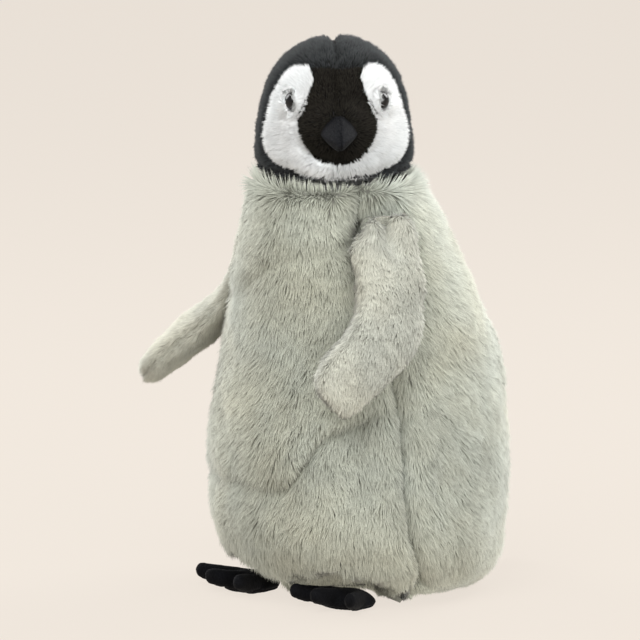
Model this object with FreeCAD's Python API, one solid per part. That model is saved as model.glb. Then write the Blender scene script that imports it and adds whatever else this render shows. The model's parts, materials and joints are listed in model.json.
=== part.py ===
"""Stuffed plush penguin chick, standing, with a swivelling head, hanging flippers, soft feet and a tail.

Units are millimetres. +Z is up, the origin is on the floor under the middle of the body,
and the body faces -Y, so that its own left side is +X. Each piece of the toy is one STEP file.
"""

import FreeCAD, Part
import math
import os
from FreeCAD import Matrix, Placement, Rotation, Vector

OUT = "parts"
HUGE = 400.0  # larger than the toy, for cutting tools
UP = Vector(0, 0, 1)

# ---- driving dimensions ---------------------------------------------------------------------

PLUSH = 5.0  # body fabric with its pile pressed down
HEAD_PLUSH = 4.0  # the shorter pile of the head
LIMB_PLUSH = 3.0  # flipper and tail fabric
THIN_CLOTH = 1.5  # foot, beak and bag cloth
GAP = 1.5  # free space between pieces that move past each other

BODY_TOP = 269.0
SEAM_Y = -43.0  # the side seams run straight down here
# Below that they curve back to the base: Y, Z.
SEAM_CURVE = [(-14.0, 0.0), (-27.0, 20.0), (-40.0, 56.0), (SEAM_Y, 100.0)]
BASE_OVAL = (54.0, 43.0, 24.0)  # stiffener board: half width, half depth, centre Y
BASE_BOARD = 2.5

# Body sections: height, half width, front Y, back Y.
BODY_SECTIONS = [
    (0.0, 66.0, -48.0, 80.0),
    (5.0, 74.0, -62.0, 88.0),
    (16.0, 83.0, -76.0, 95.0),
    (38.0, 91.0, -92.0, 99.0),
    (76.0, 94.0, -96.5, 101.0),
    (110.0, 93.5, -95.5, 100.0),
    (150.0, 87.5, -87.5, 96.0),
    (190.0, 78.5, -85.5, 80.0),
    (225.0, 69.0, -83.0, 63.0),
    (245.0, 63.0, -80.5, 51.0),
    (258.0, 57.5, -77.0, 40.5),
    (265.0, 53.5, -74.0, 34.5),
    (BODY_TOP, 49.5, -70.5, 30.0),
]

HEAD_Y = -20.5  # the neck axis
HEAD_YAW = 46.0  # the head is turned this far to the toy's own left
HEAD_BOTTOM = BODY_TOP + GAP
HEAD_HEIGHT = 81.0
HEAD_HALF_WIDTH = 50.0
HEAD_HALF_DEPTH = 52.0
HEAD_TUCK = 2.5  # the head draws in at its bottom
DOME_POWERS = (2.6, 2.5)  # how square the dome is along its height and across it
DOME_LEVELS = (0.0, 0.2, 0.4, 0.58, 0.73, 0.84, 0.92, 0.97, 0.993)  # where its sections lie
MUZZLE = (27.0, 24.0, 22.0)  # half sizes of the bulge that carries the beak
MUZZLE_AT = Vector(0, -36.0, 30.0)  # above the head's bottom

# Face seams as (x, height above the head's bottom), from the chin up the toy's left side.
FACE_EDGE = [
    (0, -0.5), (17, 3), (30, 6), (39.5, 9), (44, 14), (45.5, 22), (44.5, 32),
    (42.5, 41), (40, 49), (36.5, 56), (32, 62), (27, 66.5), (21.5, 68.5), (16.5, 67.5),
]
MASK_EDGE = [
    (0, 11), (11, 13), (19, 18.5), (24, 26), (25.5, 33),
    (23.5, 42), (19.5, 50), (16, 58), (15.5, 64), (16.5, 67.5),
]

EYE_AT = (28.0, 48.5)  # sideways, and above the head's bottom
EYE_RADIUS = 6.0
EYE_SINK = 2.5  # the eye's centre lies this far under the face
EYE_LOOK = (0.9, 0.22)  # the eyes look less sideways than the face does there, and slightly up
EYE_STEM = (2.0, 13.0)  # radius, length
EYE_WASHER = (7.0, 1.5)

BEAK_ROOT = Vector(0, -57.0, 31.5)
BEAK_DROOP = 14.0
# Beak sections: distance along, half width, half height.
BEAK_RINGS = [(-5, 11.5, 10.5), (4, 11.5, 10.5), (12, 9.8, 9.0), (19, 6.4, 5.8), (22.5, 1.2, 1.1)]

PIN_RADIUS = 3.0
RUNNING = 0.05  # radial clearance of a turning shaft
LOOSE = 0.3  # gap between pieces that only lie next to each other
SEAM_GAP = 0.6  # between the two halves of a flipper, where only thread joins them
DISC = (28.0, 3.0)  # hardboard joint disc: radius, thickness
WASHER = (9.0, 1.0)
NUT = (11.0, 5.0)  # width across flats, height
PIN_HEAD = (6.0, 2.5)
PIN_TAIL = 2.0  # the pin sticks out under its nut

WING_ROOT_HEIGHT = 243.0
WING_TILT = 9.0  # the body widens downwards by this angle where the flipper is sewn on
HOLLOW = (9.0, 60.0)  # the stuffing gives way under the flipper's root: depth, radius
PLUG = (12.0, 9.0)  # gathered seam bundle in the side seam: radius, depth
ROLL = (2.5, 18.0)  # rolled edge of the flipper, the hinge of the seam: radius, length
TONGUE = (9.5, 4.0, 0.5)  # joins the roll to the flipper: reach, height, distance from the plug's face
WING_START = -3.5  # how far out the flipper's middle lies at the seam
# Flipper sections: distance down from the seam, half width, thickness.
WING_SECTIONS = [
    (1, 15.0, 6.0), (6, 19.0, 8.5), (20, 22.5, 13.0), (46, 25.0, 19.5),
    (68, 24.5, 22.0), (95, 21.5, 21.0), (118, 17.0, 17.0), (130, 8.0, 8.0),
]
WING_ELBOW = (38.0, 84.0)  # the bend lies between these distances down the flipper
# Lean forwards in the flipper's plane at the seam and at the tip,
# then flare away from the body's side at the seam and at the tip.
LEFT_BEND = (-3.0, 39.0, 16.5, 7.0)
RIGHT_BEND = (-14.0, 4.0, 14.5, 40.0)

FOOT_HINGE = (-33.0, 2.5)  # Y and Z of the flexing line
FOOT_AT = 39.0  # sideways
LEFT_SPLAY = 0.0
RIGHT_SPLAY = 17.0
FOOT_NOTCH = (36.0, 40.0, 22.0)  # half sizes of the space the belly leaves over a foot
FOOT_NOTCH_Y = -60.0
TOE_RADII = (6.5, 4.2)  # root, tip
TOES = [(-8.0, 28.0, 28.0), (0.0, 31.0, 0.0), (8.0, 28.0, -28.0)]  # sideways, length, splay
TOE_ROOT = -15.0
TOE_LIFT = 11.0  # the toes point up by this angle
FOOT_PAD = (19.0, 18.0, 9.5)  # half width, half length, height

TAIL_HINGE = (97.5, 22.0)
# Tail sections: distance along, half width, half thickness.
TAIL_SECTIONS = [(3, 17.0, 6.0), (14, 15.0, 6.0), (26, 10.0, 4.5), (34, 4.0, 2.0)]
TAIL_RISE = -14.0

TAIL_CLOTH = 2.0

PELLET_BAG = (58.0, 56.0, 18.0)
PELLET_BAG_AT = Vector(0, 18.0, 28.0)


# ---- shared shapes --------------------------------------------------------------------------


def ring(height, half_width, front, back, points=16):
    """A closed smooth horizontal curve: half an oval to the front and half to the back."""
    middle = (front + back) / 2
    spots = []
    for i in range(points):
        turn = 2 * math.pi * i / points
        reach = middle - front if math.cos(turn) > 0 else back - middle
        spots.append(Vector(half_width * math.sin(turn), middle - reach * math.cos(turn), height))
    curve = Part.BSplineCurve()
    curve.interpolate(spots, PeriodicFlag=True)
    return Part.Wire(curve.toShape())


def loft(wires):
    return Part.makeLoft(wires, True, False, False)


def slab(low, high):
    """Everything between two heights."""
    return Part.makeBox(2 * HUGE, 2 * HUGE, high - low, Vector(-HUGE, -HUGE, low))


def side(left):
    """Everything on the toy's own left side, or on its right."""
    return Part.makeBox(HUGE, 2 * HUGE, 2 * HUGE, Vector(0 if left else -HUGE, -HUGE, -HUGE))


def ellipsoid(half_x, half_y, half_z, at):
    scale = Matrix()
    scale.scale(half_x, half_y, half_z)
    ball = Part.makeSphere(1.0).transformGeometry(scale)
    ball.translate(at)
    return ball


def tube(outer, inner, low, high, at):
    ring_shape = Part.makeCylinder(outer, high - low, Vector(at.x, at.y, low))
    return ring_shape.cut(Part.makeCylinder(inner, 3 * HUGE, Vector(at.x, at.y, -HUGE)))


def mirrored(shape):
    return shape.mirror(Vector(0, 0, 0), Vector(1, 0, 0))


def save(name, shape):
    solids = shape.Solids
    shape = solids[0] if len(solids) == 1 else Part.makeCompound(solids)
    shape.exportStep(os.path.join(OUT, name + ".step"))


# ---- body -----------------------------------------------------------------------------------


def body_form(inset):
    return loft([ring(z, w - inset, front + inset, back - inset) for z, w, front, back in BODY_SECTIONS])


def front_block():
    """Everything in front of the side seams."""
    curve = Part.BSplineCurve()
    spots = [Vector(-HUGE, y, z) for y, z in SEAM_CURVE]
    curve.interpolate(spots, InitialTangent=Vector(0, -0.4, 1), FinalTangent=Vector(0, 0, 1))
    top, bottom = Vector(-HUGE, -HUGE, HUGE), Vector(-HUGE, -HUGE, 0)
    corners = [spots[-1], Vector(-HUGE, SEAM_Y, HUGE), top, bottom, spots[0]]
    outline = Part.Wire([curve.toShape()] + [Part.makeLine(a, b) for a, b in zip(corners, corners[1:])])
    return Part.Face(outline).extrude(Vector(2 * HUGE, 0, 0))


def shoulder_hollow(growth):
    """The ball whose cap is pressed into the body round a flipper's root."""
    depth, radius = HOLLOW
    size = (radius**2 + depth**2) / (2 * depth)
    return Part.makeSphere(size + growth, Vector(size - depth, 0, 0))


def foot_notch(sign, growth):
    """The space over one foot, where the belly rests on it."""
    return ellipsoid(*(r + growth for r in FOOT_NOTCH), Vector(sign * FOOT_AT, FOOT_NOTCH_Y, 0))


def neck_axis(height):
    return Vector(0, HEAD_Y, height)


def neck_stack():
    """Heights of the swivel's layers below and above the gap between body and head."""
    disc, washer, nut = DISC[1], WASHER[1], NUT[1]
    low_disc = BODY_TOP - PLUSH - disc
    low_washer = low_disc - washer
    nut_bottom = low_washer - LOOSE - nut
    high_disc = HEAD_BOTTOM + HEAD_PLUSH
    high_washer = high_disc + disc
    return low_disc, low_washer, nut_bottom, high_disc, high_washer


def body_parts(wing_frames):
    outer = body_form(0)
    inner = body_form(PLUSH).common(slab(PLUSH, BODY_TOP - PLUSH))
    for frame in wing_frames:
        outer = outer.cut(placed(shoulder_hollow(0), frame))
        inner = inner.cut(placed(shoulder_hollow(PLUSH), frame))
    for sign in (1, -1):
        outer = outer.cut(foot_notch(sign, 0))
        inner = inner.cut(foot_notch(sign, PLUSH))
    wall = outer.cut(inner).common(slab(PLUSH, BODY_TOP - PLUSH))
    floor = Vector(-HOLLOW[0] - PLUG[1] - LOOSE, 0, 0)
    bore = Part.makeCylinder(PLUG[0] + LOOSE, HUGE, floor, Vector(1, 0, 0))
    bores = [placed(bore, frame) for frame in wing_frames]
    for hole in bores:
        wall = wall.cut(hole)
    front_space = front_block()
    for sign in (1, -1):
        front_space = front_space.fuse(foot_notch(sign, PLUSH + GAP))
    front = wall.common(front_space)
    back = wall.cut(front_space)
    pin_hole = Part.makeCylinder(PIN_RADIUS + GAP, HUGE, neck_axis(0))
    low_disc, low_washer, nut_bottom, _, _ = neck_stack()
    bag = ellipsoid(*PELLET_BAG, PELLET_BAG_AT)
    pellets = ellipsoid(*(r - THIN_CLOTH for r in PELLET_BAG), PELLET_BAG_AT)
    half_width, half_depth, centre = BASE_OVAL
    board = Part.Face(ring(PLUSH, half_width, centre - half_depth, centre + half_depth))
    board = board.extrude(UP * BASE_BOARD)
    filling = inner.cut(bag).cut(board)
    filling = filling.cut(Part.makeCylinder(NUT[0], HUGE, neck_axis(nut_bottom - 2 * PIN_TAIL)))
    filling = filling.cut(Part.makeCylinder(DISC[0], HUGE, neck_axis(low_disc)))
    for hole in bores:
        filling = filling.cut(hole)
    save("base_panel", outer.common(slab(0, PLUSH)))
    save("front_panel", front)
    save("back_panel_left", back.common(side(True)))
    save("back_panel_right", back.common(side(False)))
    save("neck_cap", outer.common(slab(BODY_TOP - PLUSH, BODY_TOP)).cut(pin_hole))
    save("body_stuffing", filling)
    save("pellet_bag", bag.cut(pellets))
    save("weight_pellets", pellets)
    save("base_board", board)
    save("neck_disc_lower", tube(DISC[0], PIN_RADIUS + RUNNING, low_disc, low_disc + DISC[1], neck_axis(0)))
    save("neck_washer_lower", tube(WASHER[0], PIN_RADIUS + RUNNING, low_washer, low_disc, neck_axis(0)))


# ---- head, made facing -Y with its bottom at height 0, then turned on the neck axis -------------


def head_place():
    return Placement(neck_axis(HEAD_BOTTOM), Rotation(UP, HEAD_YAW))


def save_head(name, shape):
    save(name, shape.copy().transformed(head_place().toMatrix()))


def head_form(inset):
    """A dome with a bulge for the muzzle."""
    along, across = DOME_POWERS
    rings = []
    for share in DOME_LEVELS:
        size = (1 - share**along) ** (1 / across)
        height = share * (HEAD_HEIGHT - inset)
        tuck = HEAD_TUCK if share == 0.0 else 0.0
        width = (HEAD_HALF_WIDTH - tuck - inset) * size
        depth = (HEAD_HALF_DEPTH - tuck - inset) * size
        rings.append(ring(height, width, -depth, depth))
    bulge = ellipsoid(*(r - inset for r in MUZZLE), MUZZLE_AT)
    return loft(rings).fuse(bulge)


def face_tool(edge, top):
    """A block with the outline of a face seam, mirrored to both sides, that cuts the head's front half."""
    half = [Vector(x, 0, z) for x, z in edge]
    other = [Vector(-p.x, 0, p.z) for p in half]
    rise = 1 if top else 0.05
    left_edge = Part.BSplineCurve()
    left_edge.interpolate(half, InitialTangent=Vector(1, 0, 0), FinalTangent=Vector(-0.4, 0, rise))
    right_edge = Part.BSplineCurve()
    right_edge.interpolate(other, InitialTangent=Vector(-1, 0, 0), FinalTangent=Vector(0.4, 0, rise))
    lid = [half[-1], other[-1]]
    if top:
        lid = [half[-1], half[-1] + UP * top, other[-1] + UP * top, other[-1]]
    edges = [left_edge.toShape(), right_edge.toShape()] + [Part.makeLine(a, b) for a, b in zip(lid, lid[1:])]
    outline = Part.Wire(Part.sortEdges(edges)[0])
    return Part.Face(outline).extrude(Vector(0, -HUGE, 0))


def eye_frame(left):
    """Where the eye's stem enters the face, and the way the eye looks."""
    sideways = EYE_AT[0] / HEAD_HALF_WIDTH
    size = (1 - (EYE_AT[1] / HEAD_HEIGHT) ** DOME_POWERS[0]) ** (1 / DOME_POWERS[1])
    turn = math.asin(sideways / size)
    surface = Vector(EYE_AT[0], -HEAD_HALF_DEPTH * size * math.cos(turn), EYE_AT[1])
    look = Vector(math.sin(turn) * EYE_LOOK[0], -math.cos(turn), EYE_LOOK[1]).normalize()
    if not left:
        surface.x, look.x = -surface.x, -look.x
    return surface, look


def eye(left):
    """A domed plastic eye with its stem."""
    surface, look = eye_frame(left)
    ball = Part.makeSphere(EYE_RADIUS, surface - look * EYE_SINK)
    back = surface - look * (EYE_SINK / 2)
    dome = ball.cut(Part.makeCylinder(2 * EYE_RADIUS, 2 * EYE_RADIUS, back, look * -1))
    stem = Part.makeCylinder(EYE_STEM[0], EYE_STEM[1], surface, look * -1)
    return dome.fuse(stem)


def eye_washer(left):
    surface, look = eye_frame(left)
    spot = surface - look * (HEAD_PLUSH + 2 * EYE_WASHER[1])
    disc = Part.makeCylinder(EYE_WASHER[0], EYE_WASHER[1], spot, look * -1)
    return disc.cut(Part.makeCylinder(EYE_STEM[0], HUGE, surface, look * -1))


def beak_form(inset):
    turn = Rotation(Vector(1, 0, 0), 90 + BEAK_DROOP)
    wires = []
    for along, half_width, half_height in BEAK_RINGS:
        width, height = max(half_width - inset, 0.4), max(half_height - inset, 0.4)
        wire = ring(along - (inset if along > 0 else 0), width, -height, height)
        wires.append(wire.transformed(Placement(BEAK_ROOT, turn).toMatrix()))
    return loft(wires)


def head_parts():
    outer = head_form(0)
    inner = head_form(HEAD_PLUSH).common(slab(HEAD_PLUSH, HUGE))
    wall = outer.cut(inner).common(slab(HEAD_PLUSH, HUGE))
    beak = beak_form(0)
    beak_filling = beak_form(THIN_CLOTH)
    face = face_tool(FACE_EDGE, 0)
    mask_block = face_tool(MASK_EDGE, 3)
    eyes = {left: eye(left) for left in (True, False)}
    washers = {left: eye_washer(left) for left in (True, False)}
    front = wall.common(face)
    mask = front.common(mask_block).cut(beak)
    cheeks = front.cut(mask_block)
    crown = wall.cut(face)
    filling = inner.cut(beak)
    for left in (True, False):
        surface, look = eye_frame(left)
        socket = Part.makeCylinder(EYE_STEM[0] + LOOSE, HUGE, surface + look * EYE_RADIUS, look * -1)
        seat = Part.makeSphere(EYE_RADIUS + LOOSE, surface - look * EYE_SINK)
        half = side(left)
        name = "left" if left else "right"
        save_head("cheek_" + name, cheeks.common(half).cut(seat).cut(socket.common(half)))
        save_head("face_mask_" + name, mask.common(half))
        save_head("crown_" + name, crown.common(half))
        save_head("eye_" + name, eyes[left])
        save_head("eye_washer_" + name, washers[left])
        save_head("beak_" + name, beak.cut(beak_filling).common(half))
        filling = filling.cut(seat).cut(eyes[left]).cut(washers[left])
    save_head("beak_stuffing", beak_filling)
    save_head("head_base", outer.common(slab(0, HEAD_PLUSH)).cut(Part.makeCylinder(PIN_RADIUS, HUGE)))
    save_head("head_stuffing", filling.cut(swivel_hollow()))


# ---- the swivel's parts that turn with the head, with heights above the head's bottom -----------


def swivel_levels():
    nut_bottom, high_disc, high_washer = (level - HEAD_BOTTOM for level in neck_stack()[2:])
    return nut_bottom, high_disc, high_washer, high_washer + WASHER[1]


def swivel_hollow():
    """The space in the head's stuffing that the upper disc, washer and pin head take."""
    _, high_disc, _, pin_top = swivel_levels()
    return Part.makeCylinder(DISC[0], pin_top - high_disc + PIN_HEAD[1] + LOOSE, UP * high_disc)


def swivel_parts():
    nut_bottom, high_disc, high_washer, pin_top = swivel_levels()
    axis = Vector(0, 0, 0)
    save_head("neck_disc_upper", tube(DISC[0], PIN_RADIUS, high_disc, high_washer, axis))
    save_head("neck_washer_upper", tube(WASHER[0], PIN_RADIUS, high_washer, pin_top, axis))
    pin_bottom = nut_bottom - PIN_TAIL
    shaft = Part.makeCylinder(PIN_RADIUS, pin_top - pin_bottom, UP * pin_bottom)
    cap = Part.makeCylinder(PIN_HEAD[0], PIN_HEAD[1], UP * pin_top)
    save_head("neck_pin", shaft.fuse(cap))
    corner = Vector(NUT[0] / math.sqrt(3), 0, nut_bottom)
    outline = Part.makePolygon([Rotation(UP, 60 * i).multVec(corner) for i in range(7)])
    nut = Part.Face(outline).extrude(UP * NUT[1])
    save_head("neck_locknut", nut.cut(Part.makeCylinder(PIN_RADIUS, 2 * HUGE, UP * -HUGE)))


# ---- flippers, made in a frame whose X points out of the body, Y backwards and Z up ---------------


def wing_frame(left):
    """The frame of the left flipper's seam. The right one is its mirror image."""
    low = max(row for row in BODY_SECTIONS if row[0] <= WING_ROOT_HEIGHT)
    high = min(row for row in BODY_SECTIONS if row[0] > WING_ROOT_HEIGHT)
    share = (WING_ROOT_HEIGHT - low[0]) / (high[0] - low[0])
    width, front, back = (low[i] + share * (high[i] - low[i]) for i in (1, 2, 3))
    middle, reach = (front + back) / 2, (back - front) / 2
    x = width * math.sqrt(1 - ((SEAM_Y - middle) / reach) ** 2)
    spot = Vector(x, SEAM_Y, WING_ROOT_HEIGHT)
    level = Vector(x / width**2, (SEAM_Y - middle) / reach**2, 0).normalize()
    out = level * math.cos(math.radians(WING_TILT)) + UP * math.sin(math.radians(WING_TILT))
    back_way = UP.cross(level)
    up_way = out.cross(back_way)
    frame = Matrix(
        out.x, back_way.x, up_way.x, spot.x,
        out.y, back_way.y, up_way.y, spot.y,
        out.z, back_way.z, up_way.z, spot.z,
        0, 0, 0, 1,
    )
    return (frame, left)


def placed(shape, frame):
    matrix, left = frame
    moved = shape.copy().transformed(matrix)
    return moved if left else mirrored(moved)


def smooth_step(value, low, high):
    share = min(max((value - low) / (high - low), 0), 1)
    return share * share * (3 - 2 * share)


def wing_line(bend):
    """Points down the flipper's middle, with the forward and outward angles there."""
    root_lean, tip_lean, root_flare, tip_flare = bend
    spot = Vector(WING_START, 0, 0)
    line = []
    for distance in range(WING_SECTIONS[-1][0] + 1):
        share = smooth_step(distance, *WING_ELBOW)
        lean = math.radians(root_lean + (tip_lean - root_lean) * share)
        flare = math.radians(root_flare + (tip_flare - root_flare) * share)
        line.append((Vector(spot), lean, flare))
        spot += Vector(math.sin(flare) * math.cos(lean), -math.sin(lean), -math.cos(flare) * math.cos(lean))
    return line


def wing_half(bend, inset, face):
    """Half a flipper, cut along its edge seam: face 1 is the outer half, -1 the inner, 0 is the whole."""
    line = wing_line(bend)
    wires = []
    for distance, half_width, thickness in WING_SECTIONS:
        ends = {WING_SECTIONS[0][0]: inset, WING_SECTIONS[-1][0]: -inset}.get(distance, 0)
        spot, lean, flare = line[distance + round(ends)]
        turn = Rotation(Vector(0, 1, 0), -math.degrees(flare))
        turn = turn.multiply(Rotation(Vector(1, 0, 0), -math.degrees(lean)))
        wide, thick = half_width - inset, max(thickness / 2 - inset, 0.5)
        corners = []
        beside_seam = SEAM_GAP if face > 0 else 0
        steps = 8 if face else 16
        first = 0.0 if face >= 0 else math.pi
        sweep = math.pi if face else 2 * math.pi
        for i in range(steps + (1 if face else 0)):
            angle = first + sweep * i / steps
            corners.append(Vector(beside_seam + thick * math.sin(angle), wide * math.cos(angle), 0))
        curve = Part.BSplineCurve()
        curve.interpolate(corners, PeriodicFlag=not face)
        edges = [curve.toShape()]
        if face:
            edges.append(Part.makeLine(corners[-1], corners[0]))
        wires.append(Part.Wire(edges).transformed(Placement(spot, turn).toMatrix()))
    return loft(wires)


def wing_parts(name, frame, bend):
    filling = wing_half(bend, LIMB_PLUSH, 0)
    floor = -HOLLOW[0]
    plug = Part.makeCylinder(PLUG[0], PLUG[1], Vector(floor - PLUG[1], 0, 0), Vector(1, 0, 0))
    trough_start = Vector(floor, -(ROLL[1] + 1) / 2, 0)
    trough = Part.makeCylinder(ROLL[0] + RUNNING, ROLL[1] + 1, trough_start, Vector(0, 1, 0))
    bead = Part.makeCylinder(ROLL[0], ROLL[1], Vector(floor, -ROLL[1] / 2, 0), Vector(0, 1, 0))
    tongue = Part.makeBox(TONGUE[0], ROLL[1], TONGUE[1], Vector(floor + TONGUE[2], -ROLL[1] / 2, -TONGUE[1]))
    roll = bead.fuse(tongue)
    save(f"wing_{name}_seam_plug", placed(plug.cut(trough), frame))
    save(f"wing_{name}_seam_roll", placed(roll, frame))
    save(f"wing_{name}_outer", placed(wing_half(bend, 0, 1).cut(filling).cut(roll), frame))
    save(f"wing_{name}_inner", placed(wing_half(bend, 0, -1).cut(filling).cut(roll), frame))
    save(f"wing_{name}_stuffing", placed(filling.cut(roll), frame))


# ---- feet and tail ----------------------------------------------------------------------------


def foot_form(inset):
    """A padded foot with three blunt toes, pointing along -Y from its flexing line at Y 0."""
    form = ellipsoid(*(size - inset for size in FOOT_PAD), Vector(0, -FOOT_PAD[1], 0))
    root_radius, tip_radius = (radius - inset for radius in TOE_RADII)
    for across, length, splay in TOES:
        level = Rotation(UP, -splay).multVec(Vector(0, -1, 0))
        way = level * math.cos(math.radians(TOE_LIFT)) + UP * math.sin(math.radians(TOE_LIFT))
        root = Vector(across, TOE_ROOT, TOE_RADII[0] / 3)
        form = form.fuse(Part.makeCone(root_radius, tip_radius, length, root, way))
        form = form.fuse(Part.makeSphere(tip_radius, root + way * length))
    return form


def foot_parts(name, splay, left):
    outer = foot_form(0).common(slab(0, HUGE))
    inner = foot_form(THIN_CLOTH).common(slab(THIN_CLOTH, HUGE))
    place = Placement(Vector(FOOT_AT, FOOT_HINGE[0], 0), Rotation(UP, splay)).toMatrix()

    def keep(part, shape):
        moved = shape.copy().transformed(place)
        save(f"foot_{name}_{part}", moved if left else mirrored(moved))

    keep("upper", outer.cut(inner).common(slab(THIN_CLOTH, HUGE)))
    keep("sole", outer.common(slab(0, THIN_CLOTH)))
    keep("stuffing", inner)


def tail_form(inset):
    turn = Rotation(Vector(1, 0, 0), -90 + TAIL_RISE)
    place = Placement(Vector(0, TAIL_HINGE[0], TAIL_HINGE[1]), turn).toMatrix()
    wires = []
    for along, half_width, half_thick in TAIL_SECTIONS:
        ends = inset if along == TAIL_SECTIONS[0][0] else (-inset if along == TAIL_SECTIONS[-1][0] else 0)
        thick = max(half_thick - inset, 0.5)
        wires.append(ring(along + ends, max(half_width - inset, 1), -thick, thick).transformed(place))
    return loft(wires)


def tail_parts():
    outer, inner = tail_form(0), tail_form(TAIL_CLOTH)
    turn = Rotation(Vector(1, 0, 0), TAIL_RISE)
    block = Part.makeBox(2 * HUGE, 2 * HUGE, HUGE, Vector(-HUGE, -HUGE, 0))
    upper_space = block.transformed(Placement(Vector(0, TAIL_HINGE[0], TAIL_HINGE[1]), turn).toMatrix())
    cover = outer.cut(inner)
    save("tail_upper", cover.common(upper_space))
    save("tail_lower", cover.cut(upper_space))
    save("tail_stuffing", inner)


def main():
    os.makedirs(OUT, exist_ok=True)
    left, right = wing_frame(True), wing_frame(False)
    body_parts([left, right])
    head_parts()
    swivel_parts()
    wing_parts("left", left, LEFT_BEND)
    wing_parts("right", right, RIGHT_BEND)
    foot_parts("left", LEFT_SPLAY, True)
    foot_parts("right", RIGHT_SPLAY, False)
    tail_parts()


main()
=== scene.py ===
"""Looks of a standing plush penguin chick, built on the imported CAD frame. Lengths are in metres."""

import json
import math
from collections import namedtuple

import bmesh
import bpy
import numpy as np
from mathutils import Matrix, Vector
from mathutils.bvhtree import BVHTree
from mathutils.kdtree import KDTree


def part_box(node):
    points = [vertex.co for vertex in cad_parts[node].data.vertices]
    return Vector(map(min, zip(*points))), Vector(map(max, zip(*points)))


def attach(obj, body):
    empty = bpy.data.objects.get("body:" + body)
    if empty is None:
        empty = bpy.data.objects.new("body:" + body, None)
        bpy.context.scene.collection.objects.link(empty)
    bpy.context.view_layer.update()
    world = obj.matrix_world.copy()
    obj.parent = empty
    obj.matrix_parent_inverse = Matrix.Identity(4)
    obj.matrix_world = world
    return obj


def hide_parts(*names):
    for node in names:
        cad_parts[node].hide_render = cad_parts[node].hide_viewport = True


CAMERA_AZIMUTH = 43.0
CAMERA_ELEVATION = 10.0
CAMERA_DISTANCE = 7.0
FIELD_HEIGHT = 0.4045  # height of the picture at the toy
PICTURE_CENTRE = (-0.0228, 0.1687)  # right of the toy's origin, and above it
SENSOR = 36
BACKDROP = (0.854, 0.783, 0.708)
FLOOR_REACH = 60.0
OFF_FLOOR = 0.0006  # the lowest that cloth and pile may reach
FLOOR_GLOW = 0.90  # the floor gives off this share of the backdrop's colour and reflects the rest
FLOOR_SHADE = (0.060, 0.056, 0.050)
WORLD_TINT = (1.0, 0.98, 0.96)
WORLD_LIGHT = 0.70
LIT_SPOT = Vector((0, 0, 0.18))
# Azimuth from the camera's, elevation, distance, size and power.
LIGHTS = {
    "key": (-20, 45, 1.6, 1.2, 20),
    "fill": (35, 10, 1.8, 1.4, 18),
    "rim_right": (125, 35, 1.5, 1.0, 20),
    "rim_left": (-125, 30, 1.5, 1.0, 14),
}
SIDES = ("left", "right")

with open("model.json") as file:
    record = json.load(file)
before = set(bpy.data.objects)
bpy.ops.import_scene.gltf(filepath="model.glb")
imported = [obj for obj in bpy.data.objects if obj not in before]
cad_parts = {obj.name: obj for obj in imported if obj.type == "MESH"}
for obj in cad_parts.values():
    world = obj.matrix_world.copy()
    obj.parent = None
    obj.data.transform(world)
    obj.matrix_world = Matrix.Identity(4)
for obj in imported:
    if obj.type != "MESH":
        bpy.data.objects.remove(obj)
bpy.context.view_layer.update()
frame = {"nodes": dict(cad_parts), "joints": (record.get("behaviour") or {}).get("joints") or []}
nodes = frame["nodes"]
joints = {joint["name"]: joint for joint in frame["joints"]}


# ---- numbers and small tools ------------------------------------------------------------------


def unit(v):
    v = np.asarray(v, float)
    return v / np.maximum(np.linalg.norm(v, axis=-1, keepdims=True), 1e-12)


def smooth(value, low, high):
    share = np.clip((value - low) / (high - low), 0, 1)
    return share * share * (3 - 2 * share)


def bump(value, width):
    return np.exp(-((value / width) ** 2))


def evened(values, reach):
    """The running mean of a row of values over that many neighbours on both sides."""
    window = 2 * reach + 1
    return np.convolve(np.pad(values, reach, mode="edge"), np.ones(window) / window, mode="valid")


def lattice_noise(points, scale, seed):
    """Smooth random values from -1 to 1 over space."""
    table = np.random.default_rng(seed).uniform(-1, 1, 4096)
    spots = points / scale
    cell = np.floor(spots).astype(np.int64)
    part = spots - cell
    part = part * part * (3 - 2 * part)
    total = np.zeros(len(points))
    for corner in range(8):
        step = np.array([corner & 1, corner >> 1 & 1, corner >> 2 & 1])
        at = cell + step
        key = (at[:, 0] * 73856093 ^ at[:, 1] * 19349663 ^ at[:, 2] * 83492791) & 4095
        weight = np.prod(np.where(step, part, 1 - part), axis=1)
        total += weight * table[key]
    return total


def waves(points, table, seed):
    """The sum of smooth random values, for a table of their strengths and scales."""
    return sum(strength * lattice_noise(points, scale, seed + i) for i, (strength, scale) in enumerate(table))


def box_centre(node):
    low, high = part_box(node)
    return np.array((low + high) / 2)


def sideways_of(way):
    """The level direction at a right angle to a way."""
    return unit(np.cross([0, 0, 1], way))


def read(items, field, size, kind=float):
    """One field of all of a mesh's items, with a row for each."""
    values = np.zeros(len(items) * size, kind)
    items.foreach_get(field, values)
    return values.reshape(-1, size)


def cad_triangles(names):
    """Vertices, triangles and the index of the node each triangle belongs to."""
    points, triangles, owners, start = [], [], [], 0
    for index, name in enumerate(names):
        mesh = nodes[name].data
        mesh.calc_loop_triangles()
        points.append(read(mesh.vertices, "co", 3))
        triangles.append(read(mesh.loop_triangles, "vertices", 3, np.int64) + start)
        owners.append(np.full(len(mesh.loop_triangles), index))
        start += len(mesh.vertices)
    return np.concatenate(points), np.concatenate(triangles), np.concatenate(owners)


def search_tree(names):
    points, triangles, owners = cad_triangles(names)
    return BVHTree.FromPolygons(points.tolist(), triangles.tolist()), owners


def new_object(name, points, faces):
    mesh = bpy.data.meshes.new(name)
    mesh.from_pydata([tuple(p) for p in points], [], [tuple(f) for f in faces])
    mesh.update()
    obj = bpy.data.objects.new(name, mesh)
    bpy.context.scene.collection.objects.link(obj)
    return obj


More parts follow.
